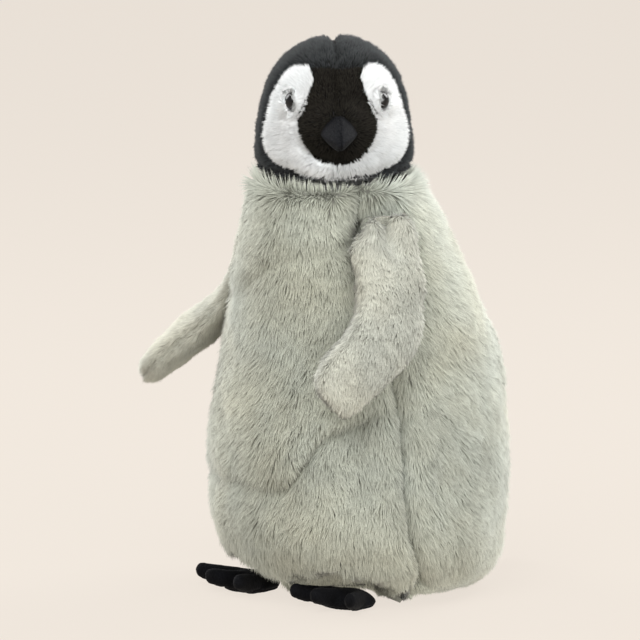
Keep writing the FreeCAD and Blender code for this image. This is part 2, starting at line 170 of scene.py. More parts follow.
def applied(obj):
    """Bakes the modifiers of an object into its mesh."""
    graph = bpy.context.evaluated_depsgraph_get()
    mesh = bpy.data.meshes.new_from_object(obj.evaluated_get(graph))
    obj.modifiers.clear()
    obj.data = mesh
    return obj


def mesh_points(obj):
    return read(obj.data.vertices, "co", 3)


def mesh_normals(obj):
    return read(obj.data.vertex_normals, "vector", 3, np.float32).astype(float)


def set_points(obj, points):
    obj.data.vertices.foreach_set("co", np.asarray(points, np.float32).ravel())
    obj.data.update()


def relax(obj, rounds, share=0.5):
    """Evens out a mesh by moving each vertex towards its neighbours."""
    points = mesh_points(obj)
    edges = read(obj.data.edges, "vertices", 2, np.int64)
    count = np.bincount(edges.ravel(), minlength=len(points))[:, None]
    for _ in range(rounds):
        total = np.zeros_like(points)
        np.add.at(total, edges[:, 0], points[edges[:, 1]])
        np.add.at(total, edges[:, 1], points[edges[:, 0]])
        points += share * (total / np.maximum(count, 1) - points)
    set_points(obj, points)


CLOTH_PRESSURE = 4.0
CLOTH_FRAMES = 20


def puff(obj, most, held=None):
    """Blows a form up with cloth simulation, as filling does inside fabric, and keeps the result.

    No point moves further than most, and the held points stay where they are.
    """
    before = mesh_points(obj)
    cloth = obj.modifiers.new("padding", "CLOTH")
    cloth.settings.use_pressure = True
    cloth.settings.uniform_pressure_force = CLOTH_PRESSURE
    cloth.settings.effector_weights.gravity = 0
    if held is not None:
        group = obj.vertex_groups.new(name="held")
        group.add(held.tolist(), 1.0, "REPLACE")
        cloth.settings.vertex_group_mass = group.name
    for number in range(1, CLOTH_FRAMES + 1):
        bpy.context.scene.frame_set(number)
    applied(obj)
    bpy.context.scene.frame_set(1)
    step = mesh_points(obj) - before
    far = np.linalg.norm(step, axis=1, keepdims=True)
    set_points(obj, before + step * np.minimum(1, most / np.maximum(far, 1e-9)))


# ---- materials --------------------------------------------------------------------------------


class Paint:
    """A small helper that builds one node material."""

    def __init__(self, name):
        self.material = bpy.data.materials.new(name)
        self.material.use_nodes = True
        self.tree = self.material.node_tree
        self.shader = self.tree.nodes["Principled BSDF"]

    def node(self, kind, **settings):
        made = self.tree.nodes.new(kind)
        for key, value in settings.items():
            setattr(made, key, value)
        return made

    def link(self, source, target):
        self.tree.links.new(source, target)

    def finish(self, **values):
        """Links or sets inputs of the shader, with _ for each blank in an input's name."""
        for name, value in values.items():
            target = self.shader.inputs[name.replace("_", " ")]
            if hasattr(value, "links"):
                self.link(value, target)
            else:
                target.default_value = value
        return self.material

    def noise(self, scale, detail=3.0, stretch=None):
        made = self.node("ShaderNodeTexNoise")
        made.inputs["Scale"].default_value = scale
        made.inputs["Detail"].default_value = detail
        source = self.node("ShaderNodeTexCoord").outputs["Object"]
        if stretch:
            mapping = self.node("ShaderNodeMapping")
            mapping.inputs["Scale"].default_value = stretch
            self.link(source, mapping.inputs["Vector"])
            source = mapping.outputs["Vector"]
        self.link(source, made.inputs["Vector"])
        return made.outputs["Fac"]

    def attribute(self, name):
        return self.node("ShaderNodeAttribute", attribute_name=name).outputs["Fac"]

    def ramp(self, source, stops):
        made = self.node("ShaderNodeValToRGB")
        elements = made.color_ramp.elements
        while len(elements) < len(stops):
            elements.new(0.5)
        for element, (position, color) in zip(elements, stops):
            element.position = position
            element.color = (*color, 1)
        self.link(source, made.inputs["Fac"])
        return made.outputs["Color"]

    def grey(self, source, low, high):
        made = self.node("ShaderNodeMapRange")
        for name, value in (("From Min", 0.3), ("From Max", 0.7), ("To Min", low), ("To Max", high)):
            made.inputs[name].default_value = value
        self.link(source, made.inputs["Value"])
        return made.outputs["Result"]

    def mix(self, kind, factor, first, second):
        made = self.node("ShaderNodeMix", data_type="RGBA", blend_type=kind)
        targets = [s for s in made.inputs if s.enabled and s.name in ("Factor", "A", "B")]
        for socket, value in zip(targets, (factor, first, second)):
            if hasattr(value, "links"):
                self.link(value, socket)
            elif socket.name == "Factor":
                socket.default_value = value
            else:
                socket.default_value = (*value, 1)
        return [s for s in made.outputs if s.enabled][0]

    def bumps(self, height, distance):
        made = self.node("ShaderNodeBump")
        made.inputs["Distance"].default_value = distance
        self.link(height, made.inputs["Height"])
        return made.outputs["Normal"]


def pile_material(name, root, middle, tip, sheen, gloss=0.2, warm=(1.0, 0.985, 0.93)):
    """Cut pile: dark at the root, pale at the tip, with uneven tufts and broad soft patches. The tufts' tone
    also carries the body pile's painted shade and light.
    """
    paint = Paint(name)
    along = paint.ramp(paint.attribute("pile_tip"), [(0.0, root), (0.45, middle), (1.0, tip)])
    patches = paint.ramp(paint.noise(16.0, 2.0), [(0.3, (0.95, 0.985, 1.0)), (0.7, warm)])
    tinted = paint.mix("MULTIPLY", 1.0, along, patches)
    stops = [(0.0, (0.72, 0.72, 0.71)), (0.5, (1, 1, 1)), (1.0, (1.22, 1.22, 1.21))]
    color = paint.mix("MULTIPLY", 1.0, tinted, paint.ramp(paint.attribute("pile_tone"), stops))
    rough = paint.grey(paint.noise(300.0), 0.75, 0.95)
    return paint.finish(Base_Color=color, Roughness=rough, Sheen_Weight=sheen, Sheen_Roughness=0.6,
                        Specular_IOR_Level=gloss)


def backing_material(name, color):
    """The cloth the pile grows from: a fine knit, nearly hidden."""
    paint = Paint(name)
    mottled = paint.ramp(paint.noise(120.0), [(0.35, tuple(c * 0.75 for c in color)), (0.65, color)])
    knit = paint.bumps(paint.noise(900.0), 0.0005)
    return paint.finish(Base_Color=mottled, Roughness=0.95, Normal=knit)


def suede_material(name, dark, light, sheen, gloss):
    """Close napped cloth, softly mottled, with fine fibres."""
    paint = Paint(name)
    soft = paint.noise(70.0, 4.0)
    fibres = paint.noise(1400.0, 2.0, stretch=(1, 1, 0.35))
    color = paint.mix("MIX", fibres, paint.ramp(soft, [(0.35, dark), (0.7, light)]), dark)
    rough = paint.grey(fibres, 0.7, 0.95)
    return paint.finish(Base_Color=color, Roughness=rough, Sheen_Weight=sheen, Sheen_Roughness=0.4,
                        Specular_IOR_Level=gloss, Normal=paint.bumps(fibres, 0.0004))


def plastic_material(name, color, rough, gloss=0.5):
    """Moulded plastic, very slightly uneven."""
    paint = Paint(name)
    shade = paint.ramp(paint.noise(60.0), [(0.3, tuple(c * 0.85 for c in color)), (0.7, color)])
    uneven = paint.grey(paint.noise(200.0), rough, rough * 1.3)
    moulding = paint.bumps(paint.noise(500.0), 0.00005)
    return paint.finish(Base_Color=shade, Roughness=uneven, Specular_IOR_Level=gloss, Normal=moulding)


# Colours of the pile at its root, middle and tip.
GREY_SHADES = (0.21, 0.215, 0.18), (0.43, 0.445, 0.375), (0.66, 0.68, 0.595)
PALE_SHADES = (0.34, 0.335, 0.285), (0.52, 0.52, 0.45), (0.70, 0.70, 0.62)
CROWN_SHADES = (0.002, 0.002, 0.002), (0.008, 0.009, 0.010), (0.048, 0.053, 0.056)
MASK_SHADES = (0.001, 0.001, 0.001), (0.005, 0.0046, 0.0040), (0.026, 0.0235, 0.019)
WHITE_SHADES = (0.54, 0.55, 0.55), (0.72, 0.73, 0.725), (0.80, 0.80, 0.795)
GREY = pile_material("grey_pile", *GREY_SHADES, sheen=0.30)
PALE = pile_material("flipper_pile", *PALE_SHADES, sheen=0.25)
CROWN = pile_material("crown_pile", *CROWN_SHADES, sheen=0.05, gloss=0.08)
MASK = pile_material("mask_pile", *MASK_SHADES, sheen=0.0, gloss=0.04)
WHITE = pile_material("white_pile", *WHITE_SHADES, sheen=0.10, warm=(1, 1, 1))
GREY_CLOTH = backing_material("grey_backing", (0.24, 0.245, 0.21))
BASE_CLOTH = backing_material("base_cloth", (0.22, 0.225, 0.195))
PALE_CLOTH = backing_material("flipper_backing", (0.30, 0.295, 0.25))
BLACK_CLOTH = backing_material("black_backing", (0.008, 0.008, 0.008))
WHITE_CLOTH = backing_material("white_backing", (0.70, 0.71, 0.71))
BEAK_CLOTH = suede_material("beak_suede", (0.0025, 0.0028, 0.0038), (0.0065, 0.0072, 0.0095), 0.0, 0.12)
FOOT_CLOTH = suede_material("foot_suede", (0.0015, 0.0015, 0.002), (0.005, 0.0055, 0.008), 0.02, 0.1)
EYE = plastic_material("eye_gloss", (0.002, 0.0018, 0.0018), 0.05, 0.35)
MOULDED = plastic_material("moulded_plastic", (0.80, 0.80, 0.78), 0.45)
FILLING = backing_material("fibre_filling", (0.85, 0.85, 0.84))


# ---- skins ------------------------------------------------------------------------------------


def finish_cloth(obj, node_names, body, material):
    """Gives a cloth its material, smooth shading and body, and hides the CAD nodes it stands for."""
    obj.data.materials.clear()
    obj.data.materials.append(material)
    obj.data.shade_smooth()
    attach(obj, body)
    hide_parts(*node_names)


def thickened(obj, thickness):
    """Gives an open sheet its thickness inwards, so that it is a closed shell."""
    solid = obj.modifiers.new("thickness", "SOLIDIFY")
    solid.thickness = thickness
    solid.offset = -1
    return applied(obj)


def border_distance(points, faces, face_owner):
    """How far each vertex is from the nearest line where two panels meet."""
    low = np.full(len(points), 99)
    high = np.full(len(points), -1)
    for column in range(faces.shape[1]):
        np.minimum.at(low, faces[:, column], face_owner)
        np.maximum.at(high, faces[:, column], face_owner)
    border = np.nonzero((low != high) & (high >= 0))[0]
    tree = KDTree(len(border))
    for i, vertex in enumerate(border):
        tree.insert(points[vertex], i)
    tree.balance()
    return np.array([tree.find(p)[2] for p in points])


def panel(points, faces, normal, seam):
    """One panel of a sewn form, with only the vertices that it uses."""
    used = np.unique(faces)
    number = np.full(len(points), -1)
    number[used] = np.arange(len(used))
    return {"points": points[used], "faces": number[faces], "normals": normal[used], "seam": seam[used]}


def sewn(name, cloth, thickness, body, material, hidden=()):
    """Makes one panel a closed cloth, which stands for its own CAD node and for the hidden ones."""
    sheet = thickened(new_object(name + "_cloth", cloth["points"], cloth["faces"]), thickness)
    finish_cloth(sheet, [name, *hidden], body, material)
    return cloth


def merged(obj, outward=False):
    """Joins the vertices that lie on each other and, where asked, turns the faces outwards."""
    work = bmesh.new()
    work.from_mesh(obj.data)
    bmesh.ops.remove_doubles(work, verts=work.verts, dist=1e-6)
    if outward:
        bmesh.ops.recalc_face_normals(work, faces=work.faces)
    work.to_mesh(obj.data)
    work.free()
    return obj


# ---- pile -------------------------------------------------------------------------------------

SPIKE_SIDES = ((0, 3, 2), (2, 3, 1), (1, 3, 0), (0, 2, 1))
TUFTS_IN_PIECE = 48000
ROOT_DEPTH = 0.0006  # the tufts start this far under the cloth
PARTING_WIDTH = 0.0024  # half the width of the gap in the pile over a seam
# Strength and scale of the unevenness in the tufts' direction (radians), rise (degrees), length and tone.
SWAY_WAVES = ((0.36, 0.030), (0.42, 0.0055))
RISE_WAVES = ((6, 0.016), (9, 0.004))
LENGTH_WAVES = ((0.12, 0.010),)
TONE_WAVES = ((0.20, 0.0045), (0.16, 0.020))
RISE_LIMITS = (6, 85)

# How a fabric's pile looks: tufts per square millimetre, their length and width, their rise in degrees and
# how much the pile parts over a seam.
Pile = namedtuple("Pile", "material slot density length width lift parting")


def scattered(cloth, density, rng):
    """Evenly random spots on a cloth, with the normal and the distance to the nearest seam at each."""
    points, faces = cloth["points"], cloth["faces"]
    triangles = np.concatenate([faces[:, [0, 1, 2]], faces[:, [0, 2, 3]]])
    a, b, c = (points[triangles[:, i]] for i in range(3))
    area = np.linalg.norm(np.cross(b - a, c - a), axis=1) / 2
    count = int(area.sum() * 1e6 * density)
    chosen = triangles[rng.choice(len(triangles), count, p=area / area.sum())]
    first, second = rng.random(count), rng.random(count)
    outside = first + second > 1
    first[outside], second[outside] = 1 - first[outside], 1 - second[outside]
    shares = np.stack([1 - first - second, first, second], axis=1)
    at = np.sum(points[chosen] * shares[:, :, None], axis=1)
    normal = unit(np.sum(cloth["normals"][chosen] * shares[:, :, None], axis=1))
    return at, normal, np.sum(cloth["seam"][chosen] * shares, axis=1)


def grow_pile(name, cloth, body, pile, nap, seed, shape=None, tint=None, reach=None, lifted=None):
    """Covers the outer side of a cloth with tufts: closed three-sided spikes that lie along the nap.

    nap gives the way the pile lies, shape scales its length, tint shifts its tone with painted light and
    shade, lifted adds to its rise and reach corrects where the tips end. A tuft whose length comes out as
    nothing is left out.
    """
    rng = np.random.default_rng(seed)
    at, normal, seam = scattered(cloth, pile.density, rng)
    count = len(at)
    way = nap(at)
    way = unit(way - normal * np.sum(way * normal, axis=1, keepdims=True))
    across = np.cross(normal, way)
    sway = waves(at, SWAY_WAVES, seed + 1) + rng.normal(0, 0.16, count)
    way = way * np.cos(sway)[:, None] + across * np.sin(sway)[:, None]
    rise = pile.lift + waves(at, RISE_WAVES, seed + 3) + rng.normal(0, 4, count)
    if lifted is not None:
        rise += lifted(at)
    rise = np.radians(np.clip(rise, *RISE_LIMITS))
    way = way * np.cos(rise)[:, None] + normal * np.sin(rise)[:, None]
    parting = pile.parting * bump(seam, PARTING_WIDTH)
    size = pile.length * (1 + waves(at, LENGTH_WAVES, seed + 5)) * rng.uniform(0.70, 1.10, count)
    size *= 1 - 0.6 * parting
    if shape is not None:
        size = size * shape(at)
    tip = at + way * size[:, None]
    kept = size > 0.05 * pile.length
    if reach is not None:
        tip, allowed = reach(at, tip)
        kept &= allowed
    tone = 0.5 + waves(at, TONE_WAVES, seed + 6) + rng.normal(0, 0.12, count) - 0.8 * parting
    # Painted light and shade, where given, shift the tone.
    if tint is not None:
        tone += tint(at)
    half = pile.width * rng.uniform(0.75, 1.25, count) / 2
    chosen = np.nonzero(kept)[0]
    chosen = chosen[np.argsort(at[chosen, 2], kind="stable")]
    parts = math.ceil(len(chosen) / TUFTS_IN_PIECE)
    tone = np.clip(tone, 0, 1)
    for number, group in enumerate(np.array_split(chosen, parts), 1):
        label = name + (f"_{number}" if parts > 1 else "")
        tufts(label, at[group], normal[group], tip[group], half[group], tone[group], pile, body)


def tufts(name, at, normal, tip, half, tone, pile, body):
    """One piece of pile, made of a spike from each root to its tip."""
    count = len(at)
    way = unit(tip - at)
    across = unit(np.cross(way, normal))
    upper = unit(np.cross(across, way))
    half = half[:, None]
    root = at - normal * ROOT_DEPTH
    corners = np.stack([root + across * half, root - across * half, root + upper * half * 1.1, tip], axis=1)
    base = np.arange(count)[:, None] * 4
    spikes = np.stack([base + sides for sides in SPIKE_SIDES], axis=1)
    obj = spike_object(name, corners.reshape(-1, 3), spikes.reshape(-1, 3))
    shading = np.stack([normal + across * 0.4, normal - across * 0.4, normal, normal + way * 0.15], axis=1)
    obj.data.normals_split_custom_set_from_vertices(unit(shading.reshape(-1, 3)))
    fibre = np.tile(np.array([0, 0, 0, 1], np.float32), count)
    obj.data.attributes.new("pile_tip", "FLOAT", "POINT").data.foreach_set("value", fibre)
    # The tone holds random unevenness, darker seams and, on the body, painted shade and light.
    tones = np.repeat(tone, 4).astype(np.float32)
    obj.data.attributes.new("pile_tone", "FLOAT", "POINT").data.foreach_set("value", tones)
    lay_out(obj, count)
    obj.data.materials.append(pile.material)
    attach(obj, body)


def spike_object(name, points, triangles):
    """A mesh object made quickly from arrays of points and triangles."""
    mesh = bpy.data.meshes.new(name)
    mesh.vertices.add(len(points))
    mesh.vertices.foreach_set("co", points.astype(np.float32).ravel())
    mesh.loops.add(len(triangles) * 3)
    mesh.loops.foreach_set("vertex_index", triangles.astype(np.int32).ravel())
    mesh.polygons.add(len(triangles))
    mesh.polygons.foreach_set("loop_start", np.arange(0, len(triangles) * 3, 3, dtype=np.int32))
    mesh.polygons.foreach_set("use_smooth", np.ones(len(triangles), bool))
    mesh.update(calc_edges=True)
    mesh.validate()
    obj = bpy.data.objects.new(name, mesh)
    bpy.context.scene.collection.objects.link(obj)
    return obj


def lay_out(obj, count):
    """Gives each tuft its own small cell of the texture square."""
    cells = math.ceil(math.sqrt(count))
    index = np.arange(count)
    corner = np.stack([index % cells, index // cells], axis=1) / cells
    spots = {0: (0.15, 0.15), 1: (0.85, 0.15), 2: (0.5, 0.2), 3: (0.5, 0.85)}
    local = np.array([spots[i] for sides in SPIKE_SIDES for i in sides]) / cells
    layer = obj.data.uv_layers.new(name="OFBake")
    layer.data.foreach_set("uv", (corner[:, None, :] + local[None]).astype(np.float32).ravel())


# ---- body -------------------------------------------------------------------------------------

BODY_NODES = ["front_panel", "back_panel_left", "back_panel_right"]
PLUGS = [f"wing_{s}_seam_plug" for s in SIDES]
ROW_STEP = 0.0026
COLUMN_STEP = 0.0028
CLOTH_SINK = 0.0034  # the cloth lies this far inside the CAD skin, which is the pile's outside
BODY_PUFF = 0.004  # the filling may push the cloth out this far between its seams
BODY_AXIS = np.array([0.0, (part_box("front_panel")[0].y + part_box("back_panel_left")[1].y) / 2])
NECK = np.array(joints["head_turn"]["pos_m"])
BODY_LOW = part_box("base_panel")[0].z
BODY_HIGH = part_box("neck_cap")[1].z
BEAK = (box_centre("beak_left") + box_centre("beak_right")) / 2
FACING = unit(np.array([BEAK[0] - NECK[0], BEAK[1] - NECK[1], 0]))
COLLAR_HEIGHT = 0.010
SEAM_DEPTH = 0.0045
SEAM_WIDTH = 0.0045
BODY_SHEET, HEAD_SHEET, COVER_SHEET = 0.0025, 0.002, 0.002  # thickness of the cloths
COARSE_TURNS, COARSE_ROWS = 96, 54  # the grid that the cloth simulation works on
BASE_SHARE, BASE_SHEET, BASE_EDGE = 0.985, 0.0015, 0.0004
BASE_AT = BODY_LOW + 0.0008
CHEST_SWELL = (0.0017, 0.0009, 0.034)  # how far a fold's upper side stands out and its lower side goes in,
BELLY_SWELL = (0.0024, 0.0044, 0.026)  # and over which height the swell dies away


def seam_line():
    """Y of the side seams at each height, read from the front panel."""
    points, _, _ = cad_triangles(["front_panel"])
    heights = np.linspace(BODY_LOW, BODY_HIGH, 45)
    spacing = heights[1] - heights[0]
    line = []
    for z in heights:
        level = points[np.abs(points[:, 2] - z) < spacing]
        line.append(level[np.abs(level[:, 0]) > 0.5 * np.abs(level[:, 0]).max()][:, 1].max())
    return heights, evened(line, 2)


def caster(tree):
    """Finds the surface at an angle round the body's axis and a height."""

    def hit(turn, z):
        way = Vector((math.sin(turn), -math.cos(turn), 0))
        start = Vector((BODY_AXIS[0], BODY_AXIS[1], z)) + way * 0.3
        spot = tree.ray_cast(start, -way)[0]
        return np.array(spot) if spot else np.array([BODY_AXIS[0], BODY_AXIS[1], z])

    return hit


def seam_turns(hit, heights):
    """The angle of the left side seam at each height."""
    seam_heights, seam_y = seam_line()
    turns = []
    for z in heights:
        target = np.interp(z, seam_heights, seam_y)
        low, high = math.radians(15), math.radians(120)
        for _ in range(14):
            middle = (low + high) / 2
            low, high = (middle, high) if hit(middle, z)[1] < target else (low, middle)
        turns.append((low + high) / 2)
    return evened(turns, 3)


def puffed_body(hit):
    """The body's skin after the filling has pressed it out between its seams, as a search tree."""
    heights = np.linspace(BODY_LOW + 0.0006, BODY_HIGH - 0.0004, COARSE_ROWS)
    angles = np.linspace(0, 2 * math.pi, COARSE_TURNS, endpoint=False)
    seams = seam_turns(hit, heights)
    grid = np.array([[hit(angle, z) for angle in angles] for z in heights])
    index = np.arange(grid.size // 3).reshape(COARSE_ROWS, COARSE_TURNS)
    faces = grid_faces(COARSE_ROWS, COARSE_TURNS, closed=True)
    skin = new_object("body_skin", grid.reshape(-1, 3), faces)
    set_points(skin, mesh_points(skin) - mesh_normals(skin) * BODY_PUFF / 2)
    off_seam = [np.abs(np.abs(np.angle(np.exp(1j * angles))) - turn) for turn in seams]
    off_seam = np.minimum(np.array(off_seam), np.abs(math.pi - angles)[None])
    ends = (index < COARSE_TURNS) | (index >= index.max() - COARSE_TURNS)
    held = (off_seam < math.pi / COARSE_TURNS) | ends
    puff(skin, BODY_PUFF, np.nonzero(held.ravel())[0])
    tree = BVHTree.FromPolygons(mesh_points(skin).tolist(), faces.tolist())
    bpy.data.objects.remove(skin)
    return tree


def body_grids():
    """A grid of points for each body panel, with its columns running from seam to seam."""
    tree, _ = search_tree(BODY_NODES + ["neck_cap", "base_panel"] + PLUGS)
    hit = caster(puffed_body(caster(tree)))
    heights = list(np.arange(BODY_LOW + 0.0010, BODY_HIGH - 0.0008, ROW_STEP))
    turns = seam_turns(hit, heights)
    around = {"front_panel": (-1, 1), "back_panel_left": (1, None), "back_panel_right": (None, -1)}
    grids = {}
    for name, (start, end) in around.items():
        share = 0.75 if name == "front_panel" else 0.62
        columns = int(math.pi * 0.09 * share / COLUMN_STEP) + 1
        rows = []
        for z, turn in zip(heights, turns):
            first = start * turn if start else -math.pi
            last = end * turn if end else math.pi
            rows.append([hit(angle, z) for angle in np.linspace(first, last, columns)])
        grids[name] = np.array(rows)
    return grids


def grid_faces(rows, columns, closed=False):
    """The four-sided faces of a grid of points, whose last column meets the first where it is closed."""
    index = np.arange(rows * columns).reshape(rows, columns)
    ahead = np.roll(index, -1, axis=1)
    if not closed:
        index, ahead = index[:, :-1], ahead[:, :-1]
    return np.stack([index[:-1], ahead[:-1], ahead[1:], index[1:]], axis=-1).reshape(-1, 4)


def grid_normals(grid):
    down = np.gradient(grid, axis=0)
    along = np.gradient(grid, axis=1)
    return unit(np.cross(along, down))


def around_body(points):
    """Degrees round the body from its front, towards its left side."""
    return np.degrees(np.arctan2(points[:, 0] - BODY_AXIS[0], BODY_AXIS[1] - points[:, 1]))


def above_chest_fold(points):
    """Height above the slanting fold under the puffed chest, which climbs towards the left flipper."""
    turn = around_body(points)
    wave = 0.003 * np.sin(np.radians(turn * 7 + 40))
    return points[:, 2] - BODY_HIGH * (0.780 + 0.0023 * (turn + 12)) - wave


def above_belly_fold(points):
    """Height above the crease over the belly, which steps up towards the left flipper's tip."""
    turn = around_body(points)
    step = 0.037 * smooth(turn, 8, 34) + 0.018 * smooth(turn, 30, 62)
    uneven = 0.0028 * lattice_noise(points * np.array([1, 1, 0]), 0.008, 13)
    return points[:, 2] - 0.081 - step - uneven


def overhang(above, out, inwards, fall):
    """A full swell just above a fold that dies away upwards, and a hollow just below it."""
    swell = out * smooth(above, -0.003, 0.010) * np.exp(-np.maximum(above, 0) / fall)
    hollow = inwards * smooth(-above, -0.005, 0.003) * np.exp(-np.maximum(-above, 0) / 0.014)
    return swell - hollow


def fold_reach(points):
    """Where each of the two folds shows: the chest's, then the belly's."""
    turn = around_body(points)
    chest = smooth(turn, -62, -20) * smooth(-turn, -66, -44)
    belly = 0.30 * smooth(turn, -80, -45) + 0.70 * smooth(turn, 4, 16)
    belly *= smooth(-turn, -62, -38)
    return chest, belly


def body_folds(points):
    """How far the stuffed front gives way or stands out, in metres along the surface normal."""
    chest, belly = fold_reach(points)
    depth = waves(points, ((0.0016, 0.045), (0.0009, 0.020)), 11)
    depth += chest * overhang(above_chest_fold(points), *CHEST_SWELL)
    depth += belly * overhang(above_belly_fold(points), *BELLY_SWELL)
    return depth


def painted_body_shading(points):
    """Painted shade in the pile's tone: darker along the chest and belly folds, over the chest below the head
    and on the collar under the chin; painted light makes the pile paler near the floor.
    """
    chest, belly = fold_reach(points)
    above = above_chest_fold(points)
    # painted shade along the chest fold, then over the chest below the head
    shade = -0.12 * chest * bump(above + 0.004, 0.008)
    shade -= 0.10 * chest * smooth(above, 0, 0.012)
    # painted shade in the belly crease
    shade -= 0.80 * belly * bump(above_belly_fold(points) + 0.002, 0.0035)
    # painted light: the pile is paler near the floor
    shade += 0.12 * (1 - smooth(points[:, 2], BODY_LOW + 0.03, BODY_LOW + 0.09))
    # painted shade on the collar under the chin
    return shade - 0.25 * smooth(points[:, 2], BODY_HIGH - 1.8 * COLLAR_HEIGHT, BODY_HIGH)


def make_body():
    """The three sewn panels of the body, with their seams and folds, and the base."""
    cloths, rims = {}, []
    for name, grid in body_grids().items():
        flat = grid.reshape(-1, 3)
        normal = grid_normals(grid).reshape(-1, 3)
        span = np.linalg.norm(np.diff(grid, axis=1), axis=2)
        left = np.pad(np.cumsum(span, axis=1), ((0, 0), (1, 0)))
        edge = np.minimum(left, left[:, -1:] - left).ravel()
        groove = SEAM_DEPTH * bump(edge, SEAM_WIDTH) - 0.0014 * bump(edge - 0.014, 0.008)
        if name != "front_panel":
            back = (left[:, -1:] - left if name == "back_panel_left" else left).ravel()
            groove -= 0.45 * SEAM_DEPTH * bump(back, SEAM_WIDTH)
        ends = smooth(flat[:, 2], BODY_LOW, BODY_LOW + 0.012)
        ends *= smooth(-flat[:, 2], -BODY_HIGH, -BODY_HIGH + 0.01)
        moved = flat + normal * ((body_folds(flat) - groove) * ends - CLOTH_SINK)[:, None]
        moved[:, 2] = np.maximum(moved[:, 2], BODY_LOW + OFF_FLOOR)
        faces = grid_faces(*left.shape)
        normals = grid_normals(moved.reshape(grid.shape)).reshape(-1, 3)
        cloth = {"points": moved, "faces": faces, "normals": normals, "seam": edge}
        hidden = ["body_stuffing", "neck_cap"] if name == "front_panel" else []
        cloths[name] = sewn(name, cloth, BODY_SHEET, "body", GREY_CLOTH, hidden)
        rims.append(moved.reshape(grid.shape)[0, :-1])
    make_base(np.concatenate(rims))
    return cloths


def make_base(rim):
    """The flat base, a little inside the lowest edge of the body's panels."""
    middle = rim.mean(axis=0)
    inner = middle + (rim - middle) * BASE_SHARE
    inner[:, 2] = BASE_AT
    order = np.argsort(np.arctan2(inner[:, 0] - middle[0], middle[1] - inner[:, 1]))
    count = len(inner)
    points = np.concatenate([inner[order], [[middle[0], middle[1], BASE_AT]]])
    faces = [(i, count, (i + 1) % count) for i in range(count)]
    base = thickened(new_object("base_panel_cloth", points, faces), BASE_SHEET)
    base.modifiers.new("soft edge", "BEVEL").width = BASE_EDGE
    finish_cloth(applied(base), ["base_panel"], "body", BASE_CLOTH)


def to_the_front(points):
    """1 for points straight ahead of the neck, as the head faces, and 0 at its sides."""
    return unit((points - NECK) * np.array([1, 1, 0])) @ FACING


def body_nap(points):
    """Down the body, drifting backwards on the sides, as brushed pile does."""
    way = np.tile(np.array([0.0, 0.0, -1.0]), (len(points), 1))
    back = smooth(points[:, 1], -0.05, 0.03)
    way[:, 1] += 0.45 * back * smooth(-points[:, 1], -0.08, -0.02)
    way[:, 0] += 0.10 * np.sign(points[:, 0])
    collar = smooth(points[:, 2], BODY_HIGH - COLLAR_HEIGHT, BODY_HIGH - 0.3 * COLLAR_HEIGHT)[:, None]
    return way * (1 - collar) + np.array([0.0, 0.0, 1.0]) * collar


def body_length(points):
    """Shorter at the floor, and on the collar in front of the chin."""
    floor = smooth(points[:, 2], BODY_LOW, BODY_LOW + 0.03)
    collar = smooth(points[:, 2], BODY_HIGH - COLLAR_HEIGHT, BODY_HIGH)
    return (0.45 + 0.55 * floor) * (1 + collar * (0.25 - 0.70 * smooth(to_the_front(points), 0.75, 0.98)))


def collar_lift(points):
    """Where the nap turns from down to up under the head, the pile stands on end."""
    return 50 * bump(points[:, 2] - BODY_HIGH + 0.65 * COLLAR_HEIGHT, 0.35 * COLLAR_HEIGHT)


def above_floor(roots, tips):
    tips[:, 2] = np.maximum(tips[:, 2], OFF_FLOOR)
    return tips, np.ones(len(tips), bool)


# ---- head -------------------------------------------------------------------------------------

HEAD_NODES = [f"{part}_{s}" for part in ("crown", "cheek", "face_mask") for s in SIDES] + ["head_base"]
HEAD_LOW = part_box("head_base")[0].z
HEAD_CENTRE = np.array([NECK[0], NECK[1], HEAD_LOW + 0.030])
HEAD_CELLS = 72
HEAD_SINK = 0.0026  # like CLOTH_SINK
CROWN_RISE = 0.002
HEAD_SEAM = (0.0013, 0.0022)  # depth and width
CENTRE_SEAM = (0.0008, 0.0028)  # depth and width, from the beak over the crown
SEAM_ROLL = (0.0005, 0.007, 0.005)  # the cloth beside a seam stands out this far, at this distance and width
OUTSIDE = 0.2  # rays at the head start this far from its centre
STUCK_ON = 0.004  # what is stuck on the head hides the skin this far under it
EYE_OPENING = (0.0030, 0.0058)  # the lids leave this much of an eye free: half width, half height
EYE_LOWERED = 0.0030  # the opening's middle is this far below the dome's
EYE_SKIN = 0.0006  # the lids lie this far over the dome
KEPT_CLEAR = (1.12, 0.85, 0.95)  # shares of the opening kept free of tufts' roots, tips and middles
WHITE_ROUND_EYE = 0.0088  # the cheek's white reaches this far from an eye's middle on all sides
ROUND_EYE = (0.007, 0.012)  # the pile turns outwards from an eye within this distance
LID_SPREAD = 0.007  # beyond the dome the cloth falls away evenly over this distance


def cube_ball(cells):
    """Directions and four-sided faces of a cube grid blown up to a ball."""
    steps = np.tan(np.linspace(-math.pi / 4, math.pi / 4, cells + 1))
    across, up = np.meshgrid(steps, steps, indexing="ij")
    ones = np.ones_like(across)
    sides = [(ones, across, up), (-ones, up, across), (up, ones, across)]
    sides += [(across, -ones, up), (across, up, ones), (up, across, -ones)]
    points = np.concatenate([np.stack(s, axis=-1).reshape(-1, 3) for s in sides])
    block = grid_faces(cells + 1, cells + 1)
    faces = np.concatenate([block + i * (cells + 1) ** 2 for i in range(6)])
    _, first, same = np.unique(np.round(points, 6), axis=0, return_index=True, return_inverse=True)
    faces = same.ravel()[faces]
    points = unit(points[first])
    a, b, c = points[faces[:, 0]], points[faces[:, 1]], points[faces[:, 3]]
    inward = np.sum(np.cross(b - a, c - a) * a, axis=1) < 0
    faces[inward] = faces[inward][:, ::-1]
    return points, faces


def vertex_normals(points, faces):
    a, b, c, d = (points[faces[:, i]] for i in range(4))
    normal = np.cross(c - a, d - b)
    total = np.zeros_like(points)
    for i in range(4):
        np.add.at(total, faces[:, i], normal)
    return unit(total)


